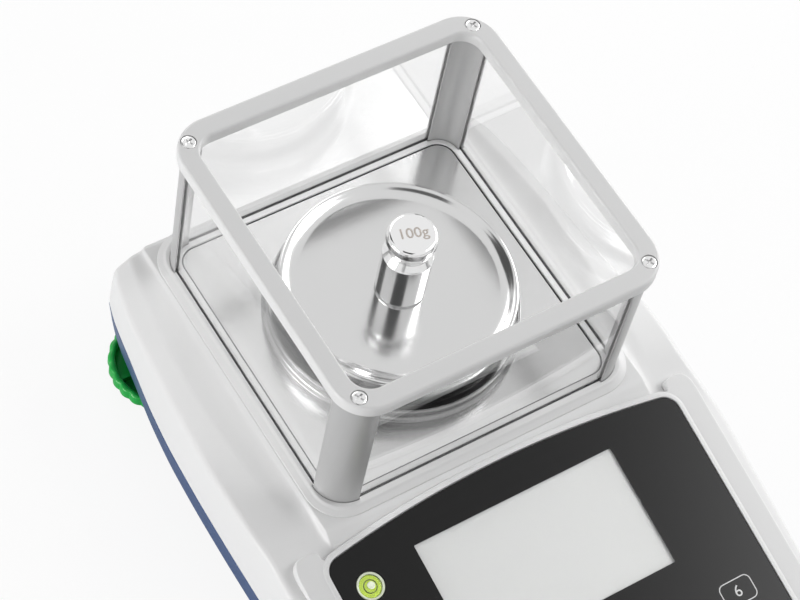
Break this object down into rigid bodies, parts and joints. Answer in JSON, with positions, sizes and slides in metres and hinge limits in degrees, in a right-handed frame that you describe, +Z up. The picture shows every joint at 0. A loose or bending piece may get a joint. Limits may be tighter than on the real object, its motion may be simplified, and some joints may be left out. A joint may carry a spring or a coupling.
{
  "type": "precision balance",
  "caption": "Laboratory precision balance with a round steel pan in a glass draft shield, a sloping display front, levelling feet and a calibration weight.",
  "frame": {"origin": "on the table under the middle of the body", "axes": "+Z up, -Y towards the user who reads the display, +X to the user's right"},
  "size_m": [0.218, 0.284, 0.1536],
  "materials": {
    "housing_grey": "fine satin moulding",
    "housing_blue": "fine satin moulding",
    "shield_grey": "satin moulding",
    "post_aluminium": "satin anodised",
    "shield_glass": "clear",
    "pan_steel": "fine brushed",
    "ring_steel": "polished",
    "weight_chrome": "polished",
    "screw_steel": "bright",
    "panel_black": "gloss film",
    "lcd_grey": "glossy display",
    "vial_green": "clear fluid",
    "vial_cup": "satin",
    "foot_green": "satin moulding",
    "pad_rubber": "matt",
    "cast_metal": "machined",
    "circuit_green": "lacquered board",
    "dark_plastic": "matt",
    "lead_grey": "cable jacket"
  },
  "bodies": {
    "base": {"upper_housing": "housing_grey", "lower_housing": "housing_blue", "housing_screw_fl": "screw_steel", "housing_screw_fr": "screw_steel", "housing_screw_bl": "screw_steel", "housing_screw_br": "screw_steel", "deck_plate": "pan_steel", "pan_carrier": "cast_metal", "pan_bumper_1": "pad_rubber", "pan_bumper_2": "pad_rubber", "pan_bumper_3": "pad_rubber", "display_panel": "panel_black", "lcd_module": "lcd_grey", "display_board": "circuit_green", "vial_cup": "vial_cup", "vial_fluid": "vial_green", "chassis_plate": "cast_metal", "cell_spacer": "cast_metal", "load_cell": "cast_metal", "cell_screw_1": "screw_steel", "cell_screw_2": "screw_steel", "pan_bracket": "cast_metal", "main_board": "circuit_green", "serial_port": "screw_steel", "power_jack": "dark_plastic", "display_ribbon": "lead_grey", "cell_lead": "lead_grey"},
    "draft_shield": {"shield_frame": "shield_grey", "shield_post_fl": "post_aluminium", "shield_post_fr": "post_aluminium", "shield_post_bl": "post_aluminium", "shield_post_br": "post_aluminium", "glass_front": "shield_glass", "glass_back": "shield_glass", "glass_left": "shield_glass", "glass_right": "shield_glass", "shield_rim": "shield_grey", "rim_screw_fl": "screw_steel", "rim_screw_fr": "screw_steel", "rim_screw_bl": "screw_steel", "rim_screw_br": "screw_steel"},
    "draft_collar": {"draft_ring": "ring_steel"},
    "pan": {"weighing_pan": "pan_steel"},
    "weight": {"calibration_weight": "weight_chrome"},
    "pad_fl": {"foot_pad_fl": "pad_rubber"},
    "wheel_fl": {"foot_wheel_fl": "foot_green", "foot_stud_fl": "screw_steel"},
    "pad_fr": {"foot_pad_fr": "pad_rubber"},
    "wheel_fr": {"foot_wheel_fr": "foot_green", "foot_stud_fr": "screw_steel"},
    "pad_bl": {"foot_pad_bl": "pad_rubber"},
    "wheel_bl": {"foot_wheel_bl": "foot_green", "foot_stud_bl": "screw_steel"},
    "pad_br": {"foot_pad_br": "pad_rubber"},
    "wheel_br": {"foot_wheel_br": "foot_green", "foot_stud_br": "screw_steel"}
  },
  "joints": [
    {"name": "shield_lift", "type": "slide", "parent": "base", "child": "draft_shield", "axis": [0, 0, 1], "range_m": [0, 0.12]},
    {"name": "collar_lift", "type": "slide", "parent": "base", "child": "draft_collar", "axis": [0, 0, 1], "range_m": [0, 0.04]},
    {"name": "pan_lift", "type": "slide", "parent": "base", "child": "pan", "axis": [0, 0, 1], "range_m": [0, 0.1]},
    {"name": "weight_lift", "type": "slide", "parent": "pan", "child": "weight", "axis": [0, 0, 1], "range_m": [0, 0.08]},
    {"name": "foot_rise_fl", "type": "slide", "parent": "base", "child": "pad_fl", "axis": [0, 0, 1], "range_m": [-0.0025, 0.0025]},
    {"name": "foot_turn_fl", "type": "hinge", "parent": "pad_fl", "child": "wheel_fl", "pos_m": [-0.0786, -0.1175, 0.008], "axis": [0, 0, 1], "range_deg": [-720, 720]},
    {"name": "foot_rise_fr", "type": "slide", "parent": "base", "child": "pad_fr", "axis": [0, 0, 1], "range_m": [-0.0025, 0.0025]},
    {"name": "foot_turn_fr", "type": "hinge", "parent": "pad_fr", "child": "wheel_fr", "pos_m": [0.0786, -0.1175, 0.008], "axis": [0, 0, 1], "range_deg": [-720, 720]},
    {"name": "foot_rise_bl", "type": "slide", "parent": "base", "child": "pad_bl", "axis": [0, 0, 1], "range_m": [-0.0025, 0.0025]},
    {"name": "foot_turn_bl", "type": "hinge", "parent": "pad_bl", "child": "wheel_bl", "pos_m": [-0.0786, 0.1175, 0.008], "axis": [0, 0, 1], "range_deg": [-720, 720]},
    {"name": "foot_rise_br", "type": "slide", "parent": "base", "child": "pad_br", "axis": [0, 0, 1], "range_m": [-0.0025, 0.0025]},
    {"name": "foot_turn_br", "type": "hinge", "parent": "pad_br", "child": "wheel_br", "pos_m": [0.0786, 0.1175, 0.008], "axis": [0, 0, 1], "range_deg": [-720, 720]}
  ],
  "couplings": [
    {"joint": "foot_turn_fl", "follows": "foot_rise_fl", "rad_per_m": 5026.5},
    {"joint": "foot_turn_fr", "follows": "foot_rise_fr", "rad_per_m": 5026.5},
    {"joint": "foot_turn_bl", "follows": "foot_rise_bl", "rad_per_m": 5026.5},
    {"joint": "foot_turn_br", "follows": "foot_rise_br", "rad_per_m": 5026.5}
  ]
}
